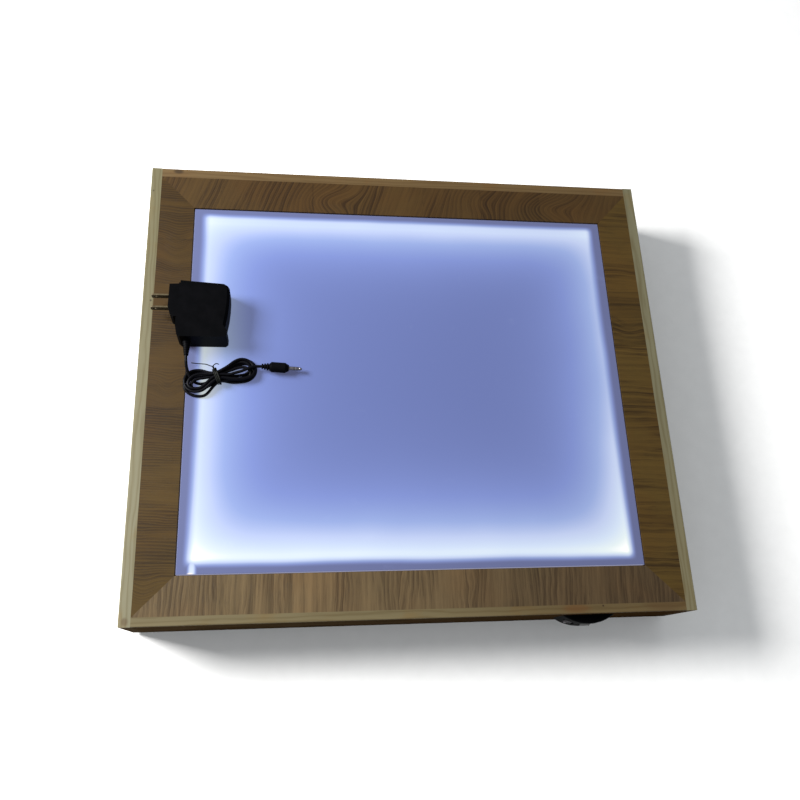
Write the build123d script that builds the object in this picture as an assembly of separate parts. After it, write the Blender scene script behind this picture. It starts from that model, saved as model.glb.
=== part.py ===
from build123d import *
import os
import math

os.makedirs("parts", exist_ok=True)

# ---------------------------------------------------------------- dimensions (mm)
# outer box
BOX_W = 520.0            # left to right
BOX_D = 458.0            # front to back, over the rails
TOP_Z = 75.0             # top of the rails and of the veneered border
FOOT_H = 4.0             # rubber feet
RAIL_T = 10.5            # side rail thickness
FRONT_T = 8.0            # front rail
REAR_T = 10.0            # rear rail
RAIL_EASE = 0.8          # eased edges of the rails
# opening in the border
OPEN_X = 215.5           # half width of the opening
OPEN_YF = -187.0         # front edge of the opening
OPEN_YR = 183.0          # rear edge of the opening
BORDER_T = 5.5           # border board, veneer on top
# diffuser
PANEL_GAP = 1.0          # gap round the diffuser
PANEL_T = 5.0
PANEL_DROP = 0.5         # diffuser top below the border top
# light well
LEDGE_T = 15.0
LEDGE_UNDER = 3.0        # ledge board reaching under the border
CLEAT = 10.0             # square batten carrying the border at the rails
BASE_T = 5.0
SHEET_T = 1.0
# LED strips
STRIP_W = 10.0
STRIP_T = 0.4
STRIP_Z = 58.5           # centre height of the strips
CHIP = 5.0
CHIP_H = 1.6
CHIP_PITCH = 33.3
# feet
FOOT_R = 9.0
FOOT_HOLE_R = 2.2
# control housing on the front rail
HOUSE_X = 159.5          # centre
HOUSE_W = 50.0
HOUSE_H = 34.0
HOUSE_Z = 45.0
HOUSE_BOW = 8.2          # how far the bowed face stands out
PAD_OUT = 3.7            # floor of the switch and socket recesses, out from the rail face
SWITCH_X = 162.0
JACK_X = 144.0
# rocker switch
BEZEL_W = 15.0
BEZEL_H = 21.0
BEZEL_T = 1.4
SW_W = 12.8
SW_H = 18.8
SW_DEEP = 13.0
SW_CAV_W = 10.4
SW_CAV_H = 17.0
SW_CAV_D = 7.0
ROCK_HALF = 7.7
ROCK_W = 10.0
ROCK_TILT = 10.0
PIVOT_IN = 1.5
PIVOT_R = 1.0
PIVOT_HOLE_R = 1.05
# jack socket
JACK_BORE_R = 1.8
JACK_BUSH_R = 3.0
JACK_NUT_R = 4.5
JACK_NUT_T = 2.0
JACK_BODY_R = 5.0
JACK_BODY_L = 15.0
# adapter, lying on its side
ADZ = TOP_Z              # height it lies at
AD_T = 25.0              # thickness as it lies
AD_SEAM = -214.0         # joint between the shells
AD_BACK = -221.0
AD_Y0 = 29.0
AD_WALL = 2.2
BLADE_Y = (63.3, 76.0)
BLADE_TIP = -249.0
# output cord
CORD_D = 2.8
CORD_Z = TOP_Z + 0.2 + CORD_D / 2
# plug
PLUG_R = 4.9
PLUG_YAW = -3.5
PLUG_START = (-144.2, 7.6)
PLUG_Z = TOP_Z + 0.2 + PLUG_R
HANK_H = 8.6

# the housing and switch stand out in front, so the box is moved back to keep the
# origin at the bottom centre of the whole
ROCK_OUT = 2.6
FRONT_OUT = PAD_OUT + BEZEL_T + 3.0


def box(x0, x1, y0, y1, z0, z1):
    return Pos((x0 + x1) / 2, (y0 + y1) / 2, (z0 + z1) / 2) * Box(x1 - x0, y1 - y0, z1 - z0)


def cyl(p, d, r, length):
    """cylinder from point p along direction d"""
    pl = Plane(origin=p, z_dir=d)
    return pl * Cylinder(r, length, align=(Align.CENTER, Align.CENTER, Align.MIN))


def cone(p, d, r0, r1, length):
    pl = Plane(origin=p, z_dir=d)
    return pl * Cone(r0, r1, length, align=(Align.CENTER, Align.CENTER, Align.MIN))


def poly(points, z0, z1):
    """prism on a plan outline"""
    face = make_face(Polyline(*[(x, y) for x, y in points], close=True))
    return Pos(0, 0, z0) * extrude(face, z1 - z0)


def tube(points, r, radii=None):
    line = Polyline(*points) if radii is None else FilletPolyline(*points, radius=radii)
    start = line @ 0
    pl = Plane(origin=start, z_dir=line % 0)
    return sweep(pl * Circle(r), path=line), line


def bend_radii(points, d, what):
    out = []
    runs = [(Vector(*b) - Vector(*a)).length for a, b in zip(points, points[1:])]
    for i in range(1, len(points) - 1):
        a = Vector(*points[i]) - Vector(*points[i - 1])
        b = Vector(*points[i + 1]) - Vector(*points[i])
        turn = math.radians(a.get_angle(b))
        out.append(0.45 * min(runs[i - 1], runs[i]) / math.tan(turn / 2))
    print(what, "runs", [round(r, 1) for r in runs], "radii", [round(r, 1) for r in out], "diameter", d)
    return out


def solids(shapes):
    out = []
    for s in shapes:
        out += list(s.solids())
    return out


W2 = BOX_W / 2
D2 = BOX_D / 2
IN_X = W2 - RAIL_T       # inner face of the side rails
IN_YF = D2 - FRONT_T     # inner face of the front rail, from the middle
IN_YR = D2 - REAR_T      # inner face of the rear rail
BASE_Z0 = FOOT_H
BASE_Z1 = FOOT_H + BASE_T
SEAT_Z = TOP_Z - BORDER_T
LX1 = OPEN_X + LEDGE_UNDER
LX0 = LX1 - LEDGE_T
LF0 = OPEN_YF - LEDGE_UNDER
LF1 = LF0 + LEDGE_T
LR1 = OPEN_YR + LEDGE_UNDER
LR0 = LR1 - LEDGE_T
FACE = -D2               # outer face of the front rail

parts = {}

# ---------------------------------------------------------------- fasteners
# nails: through the side rails into the ends of the front and rear rails
nails = []
for sx in (-1, 1):
    for y in (-D2 + FRONT_T / 2, D2 - REAR_T / 2):
        for z in (16.0, 40.0, 64.0):
            p = (sx * W2, y, z)
            nails.append(cyl(p, (-sx, 0, 0), 0.9, 32.0) + cyl(p, (-sx, 0, 0), 1.7, 1.0))
nails_c = Compound(children=solids(nails))

# countersunk screws: up through the base into the ledge boards
base_screws = []
ledge_cx = (LX0 + LX1) / 2
ledge_fy = (LF0 + LF1) / 2
ledge_ry = (LR0 + LR1) / 2
spots = [(sx * ledge_cx, y) for sx in (-1, 1) for y in (-110.0, 0.0, 110.0)]
spots += [(x, y) for x in (-120.0, 0.0, 120.0) for y in (ledge_fy, ledge_ry)]
for x, y in spots:
    s = cyl((x, y, BASE_Z0), (0, 0, 1), 1.75, 22.0) + cone((x, y, BASE_Z0), (0, 0, 1), 3.5, 1.75, 2.2)
    cross = box(x - 1.9, x + 1.9, y - 0.35, y + 0.35, BASE_Z0, BASE_Z0 + 0.9)
    cross += box(x - 0.35, x + 0.35, y - 1.9, y + 1.9, BASE_Z0, BASE_Z0 + 0.9)
    base_screws.append((s, s - cross))
base_screw_env = [a for a, b in base_screws]

# foot screws: pan heads up inside the feet
foot_screws = []
foot_spots = [(sx * ledge_cx, y) for sx in (-1, 1) for y in (-178.0, 174.0)]
for x, y in foot_spots:
    s = cyl((x, y, 1.6), (0, 0, 1), 3.4, 1.8) + cyl((x, y, 3.0), (0, 0, 1), 1.75, 17.0)
    cross = box(x - 1.9, x + 1.9, y - 0.35, y + 0.35, 1.6, 2.5) + box(x - 0.35, x + 0.35, y - 1.9, y + 1.9, 1.6, 2.5)
    foot_screws.append((s, s - cross))
foot_screw_env = [a for a, b in foot_screws]


def minus(shape, cutters):
    bb = shape.bounding_box()
    for c in cutters:
        cb = c.bounding_box()
        if (cb.min.X < bb.max.X and cb.max.X > bb.min.X and cb.min.Y < bb.max.Y and cb.max.Y > bb.min.Y
                and cb.min.Z < bb.max.Z and cb.max.Z > bb.min.Z):
            shape = shape - c
    return shape


# ---------------------------------------------------------------- rails
def rail(x0, x1, y0, y1):
    b = box(x0, x1, y0, y1, BASE_Z0, TOP_Z)
    if x1 - x0 > y1 - y0:
        edges = b.edges().filter_by(Axis.X)
        outer = [e for e in edges if abs(abs(e.center().Y) - D2) < 0.01]
    else:
        edges = b.edges().filter_by(Axis.Y)
        outer = [e for e in edges if abs(abs(e.center().X) - W2) < 0.01]
        outer += [e for e in b.edges().filter_by(Axis.Z) if abs(abs(e.center().X) - W2) < 0.01]
    return fillet(outer, RAIL_EASE)


left_rail = rail(-W2, -IN_X, -D2, D2)
right_rail = rail(IN_X, W2, -D2, D2)
front_rail = rail(-IN_X, IN_X, -D2, -IN_YF)
rear_rail = rail(-IN_X, IN_X, IN_YR, D2)
# slot behind the control housing
slot = box(138.0, 172.5, FACE - 5, FACE + FRONT_T + 5, HOUSE_Z - 11.5, HOUSE_Z + 11.5)
slot = fillet(slot.edges().filter_by(Axis.Y), 4.0)
front_rail = front_rail - slot
# screws holding the housing, heads inside the box
house_screws = []
HS = ((HOUSE_X - 18.0, HOUSE_Z + 14.0), (HOUSE_X + 18.0, HOUSE_Z - 14.0),
      (HOUSE_X + 18.0, HOUSE_Z + 14.0), (HOUSE_X - 18.0, HOUSE_Z - 14.0))
house_env = []
for x, z in HS:
    y_in = FACE + FRONT_T
    s = cyl((x, y_in, z), (0, 1, 0), 2.4, 1.5) + cyl((x, y_in + 0.1, z), (0, -1, 0), 1.2, FRONT_T + 2.6)
    cr = box(x - 1.4, x + 1.4, y_in + 0.8, y_in + 1.6, z - 0.3, z + 0.3)
    cr += box(x - 0.3, x + 0.3, y_in + 0.8, y_in + 1.6, z - 1.4, z + 1.4)
    house_screws.append(s - cr)
    house_env.append(s)
front_rail = minus(front_rail, nails + house_env)
parts["left_rail"] = minus(left_rail, nails)
parts["right_rail"] = minus(right_rail, nails)
parts["front_rail"] = front_rail
parts["rear_rail"] = minus(rear_rail, nails)
parts["corner_nails"] = nails_c

# ---------------------------------------------------------------- border, mitred at the corners
OX, OF, OR_ = OPEN_X, OPEN_YF, OPEN_YR
parts["left_border"] = poly([(-IN_X, -IN_YF), (-OX, OF), (-OX, OR_), (-IN_X, IN_YR)], SEAT_Z, TOP_Z)
parts["right_border"] = poly([(IN_X, -IN_YF), (IN_X, IN_YR), (OX, OR_), (OX, OF)], SEAT_Z, TOP_Z)
parts["front_border"] = poly([(-IN_X, -IN_YF), (IN_X, -IN_YF), (OX, OF), (-OX, OF)], SEAT_Z, TOP_Z)
parts["rear_border"] = poly([(-IN_X, IN_YR), (-OX, OR_), (OX, OR_), (IN_X, IN_YR)], SEAT_Z, TOP_Z)

# ---------------------------------------------------------------- cleats, ledges, base
parts["left_cleat"] = box(-IN_X, -IN_X + CLEAT, -IN_YF, IN_YR, SEAT_Z - CLEAT, SEAT_Z)
parts["right_cleat"] = box(IN_X - CLEAT, IN_X, -IN_YF, IN_YR, SEAT_Z - CLEAT, SEAT_Z)
parts["front_cleat"] = box(-IN_X + CLEAT, IN_X - CLEAT, -IN_YF, -IN_YF + CLEAT, SEAT_Z - CLEAT, SEAT_Z)
parts["rear_cleat"] = box(-IN_X + CLEAT, IN_X - CLEAT, IN_YR - CLEAT, IN_YR, SEAT_Z - CLEAT, SEAT_Z)
parts["front_cleat"] = minus(parts["front_cleat"], house_env)

cut = base_screw_env + foot_screw_env
parts["left_ledge"] = minus(box(-LX1, -LX0, LF0, LR1, BASE_Z1, SEAT_Z), cut)
parts["right_ledge"] = minus(box(LX0, LX1, LF0, LR1, BASE_Z1, SEAT_Z), cut)
front_ledge = box(-LX0, LX0, LF0, LF1, BASE_Z1, SEAT_Z)
WIRE_HOLE = (150.0, 40.0)
front_ledge -= cyl((WIRE_HOLE[0], LF0 - 1, WIRE_HOLE[1]), (0, 1, 0), 4.0, LEDGE_T + 2)
parts["front_ledge"] = minus(front_ledge, cut)
parts["rear_ledge"] = minus(box(-LX0, LX0, LR0, LR1, BASE_Z1, SEAT_Z), cut)
parts["base_panel"] = minus(box(-IN_X, IN_X, -IN_YF, IN_YR, BASE_Z0, BASE_Z1), cut)
parts["base_screws"] = Compound(children=solids([b for a, b in base_screws]))

# feet
for nm, (x, y) in zip(("foot_front_left", "foot_rear_left", "foot_front_right", "foot_rear_right"), foot_spots):
    f = cone((x, y, 0), (0, 0, 1), FOOT_R - 1.0, FOOT_R, FOOT_H)
    f -= cyl((x, y, -1), (0, 0, 1), 3.6, 2.6)
    parts[nm] = minus(f, foot_screw_env)
parts["foot_screws"] = Compound(children=solids([b for a, b in foot_screws]))

# reflector sheet lying on the base
parts["reflector_sheet"] = box(-LX0 + 0.5, LX0 - 0.5, LF1 + 0.5, LR0 - 0.5, BASE_Z1, BASE_Z1 + SHEET_T)

# ---------------------------------------------------------------- diffuser
pt = TOP_Z - PANEL_DROP
panel = box(-OX + PANEL_GAP, OX - PANEL_GAP, OF + PANEL_GAP, OR_ - PANEL_GAP, pt - PANEL_T, pt)
panel = chamfer(panel.edges().group_by(Axis.Z)[-1], 0.4)
parts["diffuser_panel"] = panel

# the border and the ledges come to the same height as the diffuser seat
assert abs((pt - PANEL_T) - SEAT_Z) < 1e-6

# ---------------------------------------------------------------- LED strips
sz0, sz1 = STRIP_Z - STRIP_W / 2, STRIP_Z + STRIP_W / 2
parts["led_strip_left"] = box(-LX0, -LX0 + STRIP_T, LF1 + 6, LR0 - 6, sz0, sz1)
parts["led_strip_right"] = box(LX0 - STRIP_T, LX0, LF1 + 6, LR0 - 6, sz0, sz1)
parts["led_strip_front"] = box(-LX0 + 6, LX0 - 6, LF1, LF1 + STRIP_T, sz0, sz1)
parts["led_strip_rear"] = box(-LX0 + 6, LX0 - 6, LR0 - STRIP_T, LR0, sz0, sz1)


def chip_at(x, y, dx, dy):
    """package standing off a strip, its face towards (dx, dy)"""
    a, b = CHIP / 2, CHIP_H
    if dx:
        x0, x1 = sorted((x, x + dx * b))
        body = box(x0, x1, y - a, y + a, STRIP_Z - a, STRIP_Z + a)
        dome = cyl((x + dx * b, y, STRIP_Z), (-dx, 0, 0), 1.9, 0.5)
    else:
        y0, y1 = sorted((y, y + dy * b))
        body = box(x - a, x + a, y0, y1, STRIP_Z - a, STRIP_Z + a)
        dome = cyl((x, y + dy * b, STRIP_Z), (0, -dy, 0), 1.9, 0.5)
    return body - dome


def row(lo, hi):
    n = int((hi - lo) / CHIP_PITCH)
    mid = (lo + hi) / 2
    return [mid + (i - (n - 1) / 2) * CHIP_PITCH for i in range(n)]


ys = row(LF1 + 6, LR0 - 6)
xs = row(-LX0 + 6, LX0 - 6)
chips = [chip_at(-LX0 + STRIP_T, y, 1, 0) for y in ys] + [chip_at(LX0 - STRIP_T, y, -1, 0) for y in ys]
chips += [chip_at(x, LF1 + STRIP_T, 0, 1) for x in xs] + [chip_at(x, LR0 - STRIP_T, 0, -1) for x in xs]
parts["led_chips"] = Compound(children=solids(chips))

# short jumpers joining the strips at three corners
links = []
for sx, y_in, y_to in ((-1, LF1, 1), (-1, LR0, -1), (1, LR0, -1)):
    for dz in (-2.5, 2.5):
        x_in = sx * LX0
        p0 = (x_in - sx * 7.5, y_in + y_to * 1.1, STRIP_Z + dz)
        p1 = (x_in - sx * 1.1, y_in + y_to * 1.1, STRIP_Z + dz)
        p2 = (x_in - sx * 1.1, y_in + y_to * 7.5, STRIP_Z + dz)
        t, _ = tube([p0, p1, p2], 0.6, 2.4)
        links.append(t)
parts["strip_links"] = Compound(children=solids(links))

# ---------------------------------------------------------------- control housing
hx0, hx1 = HOUSE_X - HOUSE_W / 2, HOUSE_X + HOUSE_W / 2
hz0, hz1 = HOUSE_Z - HOUSE_H / 2, HOUSE_Z + HOUSE_H / 2


def bow(inset):
    """bowed plan outline of the housing, drawn in by inset"""
    a = Vector(hx0 + inset, FACE)
    b = Vector(hx1 - inset, FACE)
    m = Vector(HOUSE_X, FACE - HOUSE_BOW + inset)
    e = ThreePointArc(a, m, b)
    face = make_face([e.edge(), Line(b, a).edge()])
    return face


outer = Pos(0, 0, hz0) * extrude(bow(0), HOUSE_H)
rim = [e for e in outer.edges().filter_by(GeomType.CIRCLE)]
outer = fillet(rim, 2.0)
housing = outer
# recesses for the bezel and the socket nut
recess = box(SWITCH_X - BEZEL_W / 2 - 0.6, SWITCH_X + BEZEL_W / 2 + 0.6, FACE - PAD_OUT - 9, FACE - PAD_OUT,
             HOUSE_Z - BEZEL_H / 2 - 0.6, HOUSE_Z + BEZEL_H / 2 + 0.6)
housing -= fillet(recess.edges().filter_by(Axis.Y), 1.8)
housing -= cyl((JACK_X, FACE - PAD_OUT, HOUSE_Z), (0, -1, 0), 5.4, 9.0)
housing -= box(SWITCH_X - SW_W / 2, SWITCH_X + SW_W / 2, FACE - 9, FACE + 1,
               HOUSE_Z - SW_H / 2, HOUSE_Z + SW_H / 2)
housing -= cyl((JACK_X, FACE + 1, HOUSE_Z), (0, -1, 0), JACK_BUSH_R, 12)
housing = minus(housing, house_env)
parts["control_housing"] = housing
parts["housing_screws"] = Compound(children=solids(house_screws))

# ---------------------------------------------------------------- rocker switch
sf = FACE - PAD_OUT                     # seat plane of the bezel
bf = sf - BEZEL_T                       # front of the bezel
bezel = box(SWITCH_X - BEZEL_W / 2, SWITCH_X + BEZEL_W / 2, bf, sf,
            HOUSE_Z - BEZEL_H / 2, HOUSE_Z + BEZEL_H / 2)
bezel = fillet(bezel.edges().filter_by(Axis.Y), 1.5)
bezel = fillet(bezel.faces().sort_by(Axis.Y)[0].edges(), 0.6)
swb = bezel + box(SWITCH_X - SW_W / 2, SWITCH_X + SW_W / 2, sf - 0.2, sf + SW_DEEP,
                  HOUSE_Z - SW_H / 2, HOUSE_Z + SW_H / 2)
swb -= box(SWITCH_X - SW_CAV_W / 2, SWITCH_X + SW_CAV_W / 2, bf - 1, bf + SW_CAV_D,
           HOUSE_Z - SW_CAV_H / 2, HOUSE_Z + SW_CAV_H / 2)
py = bf + PIVOT_IN
swb -= cyl((SWITCH_X - 5.9, py, HOUSE_Z), (1, 0, 0), PIVOT_HOLE_R, 11.8)
term = []
for dz in (-5.0, 5.0):
    y0 = sf + SW_DEEP
    t = box(SWITCH_X - 0.4, SWITCH_X + 0.4, y0 - 2.0, y0 + 7.0, HOUSE_Z + dz - 2.4, HOUSE_Z + dz + 2.4)
    t -= cyl((SWITCH_X - 1, y0 + 4.6, HOUSE_Z + dz), (1, 0, 0), 0.8, 2)
    term.append(t)
for t in term:
    y0 = sf + SW_DEEP
    bb = t.bounding_box()
    swb -= box(SWITCH_X - 0.4, SWITCH_X + 0.4, y0 - 2.0, y0 + 0.1, bb.min.Z, bb.max.Z)
parts["switch_body"] = swb
parts["switch_terminals"] = Compound(children=solids(term))
# rocker section in the (z, out) plane: two faces meeting in a shallow valley
sec = [(-ROCK_HALF, ROCK_OUT), (0.0, 0.9), (ROCK_HALF, ROCK_OUT), (ROCK_HALF, -1.2),
       (2.2, -3.4), (-2.2, -3.4), (-ROCK_HALF, -1.2)]
pts = [(SWITCH_X - ROCK_W / 2, bf - o, HOUSE_Z + z) for z, o in sec]
rf = make_face(Polyline(*pts, close=True))
rocker = extrude(rf, ROCK_W, dir=(1, 0, 0))
ends = [e for e in rocker.edges().filter_by(Axis.X) if e.center().Y < bf - 2.0]
rocker = fillet(ends, 0.7)
rocker += cyl((SWITCH_X - ROCK_W / 2 - 0.7, py, HOUSE_Z), (1, 0, 0), PIVOT_R, ROCK_W + 1.4)
rocker = rocker.rotate(Axis((SWITCH_X, py, HOUSE_Z), (1, 0, 0)), -ROCK_TILT)
parts["switch_rocker"] = rocker

# ---------------------------------------------------------------- jack socket
jb = cyl((JACK_X, sf, HOUSE_Z), (0, 1, 0), JACK_BODY_R, JACK_BODY_L)
jb -= cyl((JACK_X, sf - 1, HOUSE_Z), (0, 1, 0), JACK_BODY_R + 1, 5.9)
jb += cyl((JACK_X, sf - JACK_NUT_T - 0.6, HOUSE_Z), (0, 1, 0), JACK_BUSH_R, JACK_NUT_T + 6.0)
jb -= cyl((JACK_X, sf - JACK_NUT_T - 1, HOUSE_Z), (0, 1, 0), JACK_BORE_R, 14.6)
parts["jack_body"] = jb
nut = cyl((JACK_X, sf, HOUSE_Z), (0, -1, 0), JACK_NUT_R, JACK_NUT_T)
nut = chamfer(nut.faces().sort_by(Axis.Y)[0].edges(), 0.4)
for k in range(24):
    a = 2 * math.pi * k / 24
    nut -= cyl((JACK_X + math.cos(a) * JACK_NUT_R, sf + 0.1, HOUSE_Z + math.sin(a) * JACK_NUT_R), (0, -1, 0), 0.28, 3)
nut -= cyl((JACK_X, sf + 0.1, HOUSE_Z), (0, -1, 0), JACK_BUSH_R, 3)
parts["jack_nut"] = nut
jt = []
jy = sf + JACK_BODY_L
for dx in (-2.6, 2.6):
    jt.append(box(JACK_X + dx - 0.2, JACK_X + dx + 0.2, jy - 1.0, jy + 5.0, HOUSE_Z - 1.5, HOUSE_Z + 1.5))
for t in jt:
    jb = jb - t
parts["jack_body"] = jb
parts["jack_terminals"] = Compound(children=solids(jt))

# ---------------------------------------------------------------- inner wiring
wr = 0.8
sy = sf + SW_DEEP + 7.0
jx = jy + 5.0
w1 = [(JACK_X + 2.6, jx, HOUSE_Z), (JACK_X + 2.6, jx + 7, HOUSE_Z), (SWITCH_X, jx + 7, HOUSE_Z + 5.0),
      (SWITCH_X, sy + 0.0, HOUSE_Z + 5.0)]
t1, _ = tube(w1, wr, 2.6)
parts["wire_jack_switch"] = t1
hxw, hzw = WIRE_HOLE
w2 = [(SWITCH_X, sy, HOUSE_Z - 5.0), (SWITCH_X, sy + 5, HOUSE_Z - 5.0), (hxw + 1.4, LF0 - 6.0, hzw),
      (hxw + 1.4, LF1 + 3.0, hzw), (hxw + 1.4, LF1 + 3.0, sz0 - 3.0)]
t2, _ = tube(w2, wr, 2.4)
parts["wire_feed_red"] = t2
w3 = [(JACK_X - 2.6, jx, HOUSE_Z), (JACK_X - 2.6, jx + 4, HOUSE_Z), (hxw - 1.4, LF0 - 6.0, hzw),
      (hxw - 1.4, LF1 + 3.0, hzw), (hxw - 1.4, LF1 + 3.0, sz0 - 3.0)]
t3, _ = tube(w3, wr, 2.4)
parts["wire_feed_black"] = t3

# ---------------------------------------------------------------- adapter
az0, az1 = ADZ, ADZ + AD_T
azc = ADZ + AD_T / 2
front_out = [(AD_SEAM, AD_Y0), (-178.6, AD_Y0), (-176.4, 31.0), (-176.2, 36.0), (-178.0, 38.4), (-177.4, 44.0),
             (-175.8, 54.0), (-175.0, 64.0), (-174.8, 73.0), (-175.2, 80.0), (-177.0, 83.0), (-180.4, 84.0), (AD_SEAM, 86.4)]
fs = poly(front_out, az0, az1)
side = [e for e in fs.edges() if (abs(e.center().Z - az0) < 0.01 or abs(e.center().Z - az1) < 0.01)
        and e.center().X > -177.9 and 40 < e.center().Y < 82.9]
fs = chamfer(side, 2.6)
fs -= box(AD_SEAM - 1, -181.0, AD_Y0 + AD_WALL, 80.5, az0 + AD_WALL, az1 - AD_WALL)
back_out = [(AD_SEAM, AD_Y0), (AD_SEAM, 86.4), (AD_BACK, 87.0), (AD_BACK, 84.5), (-231.4, 84.0), (-231.9, 60.0),
            (-229.6, 52.4), (-226.8, 50.2), (-223.8, 50.2), (-223.9, 40.0), (-222.4, 31.5), (-219.6, AD_Y0)]
bs = poly(back_out, az0, az1)
# the plug block is thinner than the case
for z0, z1 in ((az0 - 1, az0 + 2.2), (az1 - 2.2, az1 + 1)):
    bs -= box(-236, -222.4, 48.0, 86.0, z0, z1)
bs -= box(-219.0, AD_SEAM + 1, AD_Y0 + AD_WALL, 80.5, az0 + AD_WALL, az1 - AD_WALL)
# cord relief
rl0 = AD_Y0
relief = cyl((AD_SEAM, rl0 + 5.0, azc), (0, -1, 0), 3.2, 5.0)
relief += cyl((AD_SEAM, rl0 + 5.0, azc), (0, -1, 0), 4.4, 2.6)
relief += cone((AD_SEAM, rl0, azc), (0, -1, 0), 3.9, 2.1, 14.0)
for k in range(5):
    yy = rl0 - 2.6 - k * 2.2
    r0 = 3.9 - (3.9 - 2.1) * (rl0 - yy) / 14.0
    ring = cyl((AD_SEAM, yy, azc), (0, -1, 0), r0 + 1, 0.8) - cyl((AD_SEAM, yy, azc), (0, -1, 0), r0 - 0.45, 0.8)
    relief -= ring
relief_env = cyl((AD_SEAM, rl0 + 5.1, azc), (0, -1, 0), 3.2, 5.2)
for nm, s in (("f", fs), ("b", bs)):
    s = s - relief_env
    s = s - cyl((AD_SEAM, rl0 + 5.0, azc), (0, -1, 0), 4.4, 2.6)
    if nm == "f":
        fs = s
    else:
        bs = s
blades = []
for y in BLADE_Y:
    b = box(BLADE_TIP, -224.0, y - 0.75, y + 0.75, azc - 3.175, azc + 3.175)
    tip = b.edges().filter_by(Axis.Y)
    tip = [e for e in tip if abs(e.center().X - BLADE_TIP) < 0.01]
    b = fillet(tip, 1.8)
    bs = bs - b
    b = b - cyl((BLADE_TIP + 3.6, y - 2, azc), (0, 1, 0), 1.6, 4)
    blades.append(b)
bs = bs + box(-219.4, -219.0, 60, 62, az0 + 4, az0 + 6)
parts["adapter_front_shell"] = fs
parts["adapter_back_shell"] = bs
parts["adapter_blades"] = Compound(children=solids(blades))
parts["adapter_relief"] = relief
# inside the case
parts["adapter_board"] = box(-217.5, -182.0, 37.0, 79.5, az0 + 3.4, az0 + 5.0)
parts["adapter_transformer"] = box(-207.0, -189.0, 52.0, 70.0, az0 + 5.0, az0 + 19.0)
parts["adapter_capacitor"] = cyl((-197.0, 43.5, az0 + 5.0), (0, 0, 1), 5.0, 15.0)

# ---------------------------------------------------------------- output cord
lead_pts = [(AD_SEAM, AD_Y0 - 14.0, azc), (-214.0, 8.0, azc), (-212.8, 1.5, 82.0), (-210.0, -5.5, 78.2)]
rads = bend_radii(lead_pts, CORD_D, "lead")
lead, lead_line = tube(lead_pts, CORD_D / 2, rads)
print("lead length", round(lead_line.length, 1), "volume", round(lead.volume, 1),
      "section x length", round(math.pi * (CORD_D / 2) ** 2 * lead_line.length, 1))
hank_out = [(-219.0, -10.0), (-215.6, 0.4), (-209.0, 5.4), (-200.0, 6.2), (-191.0, 5.2), (-182.6, 5.2), (-177.0, 9.6),
            (-170.0, 15.4), (-162.4, 18.4), (-154.4, 16.6), (-149.0, 10.6), (-147.8, 3.0), (-151.6, -4.4), (-159.0, -8.4),
            (-170.0, -9.0), (-179.6, -10.6), (-187.0, -17.6), (-194.4, -23.6), (-202.0, -25.4), (-210.0, -23.0),
            (-216.6, -18.0)]
loop = Spline(*hank_out, periodic=True)
hank = Pos(0, 0, TOP_Z + 0.2) * extrude(make_face(loop), HANK_H)
hank = chamfer(hank.edges(), 1.6)
# tie round the waist: an oval band square to the bundle, with two loose ends
tie_c = (-185.8, -3.2)
tie_a = 22.0
tpl = Plane(origin=(tie_c[0], tie_c[1], TOP_Z + 0.2 + HANK_H / 2), x_dir=(-math.sin(math.radians(tie_a)), math.cos(math.radians(tie_a)), 0),
            z_dir=(math.cos(math.radians(tie_a)), math.sin(math.radians(tie_a)), 0))
band_o = tpl * extrude(RectangleRounded(16.6, HANK_H, 3.2), 1.8, both=True)
band_i = tpl * extrude(RectangleRounded(14.2, HANK_H - 2.4, 2.2), 2.4, both=True)
band = band_o - band_i
tt = [(-187.6, 1.2, TOP_Z + HANK_H + 0.9), (-192.2, 5.2, TOP_Z + HANK_H + 0.2), (-200.0, 8.4, TOP_Z + 5.6), (-207.8, 10.4, TOP_Z + 3.0)]
tail_tie, _ = tube(tt, 0.5, 4.0)
knot = Pos(-187.6, 1.2, TOP_Z + HANK_H + 0.9) * Sphere(1.5)
hank_in = (tpl * extrude(RectangleRounded(14.2, HANK_H - 2.4, 2.2), 1.8, both=True))
cutter = (tpl * extrude(Rectangle(40.0, 20.0), 1.8, both=True)) - hank_in
reach = Pos(tie_c[0], tie_c[1], TOP_Z + 4) * Box(26, 26, 20)
hank = hank - (cutter & reach)
band = band + knot + tail_tie
hank = hank - band
parts["cord_lead"] = lead - hank
parts["cord_hank"] = hank
parts["cord_tie"] = band

# ---------------------------------------------------------------- plug at the end of the cord
ca, sa = math.cos(math.radians(PLUG_YAW)), math.sin(math.radians(PLUG_YAW))
axis = (ca, sa, 0)


def along(s):
    return (PLUG_START[0] + ca * s, PLUG_START[1] + sa * s, PLUG_Z)


boot = cone(along(0), axis, 2.5, 3.9, 8.6)
for k in range(3):
    s = 1.3 + k * 2.5
    r = 2.5 + 1.4 * s / 8.6
    boot -= cyl(along(s), axis, r + 1.5, 1.1) - cyl(along(s), axis, r - 0.9, 1.1)
grip = cyl(along(8.6), axis, PLUG_R, 14.4)
grip = fillet(grip.edges(), 0.9)
nose = cone(along(22.8), axis, PLUG_R - 0.5, 2.9, 3.0)
handle = boot + grip + nose
hollow = cyl(along(22.0), axis, 1.75, 4.0)
parts["plug_handle"] = handle - hollow
sleeve = cyl(along(22.0), axis, 1.75, 3.8 + 4.6)
band_1 = cyl(along(30.4), axis, 1.75, 0.8)
ring = cyl(along(31.2), axis, 1.75, 2.0)
band_2 = cyl(along(33.2), axis, 1.75, 0.8)
tip = cyl(along(34.0), axis, 1.75, 1.2) + cone(along(35.2), axis, 1.25, 1.75, 0.9) + cone(along(36.1), axis, 1.75, 0.5, 2.3)
parts["plug_sleeve"] = sleeve
parts["plug_insulator"] = Compound(children=solids([band_1, band_2]))
parts["plug_ring"] = ring
parts["plug_tip"] = tip
tail_start = along(-8.8)
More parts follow.
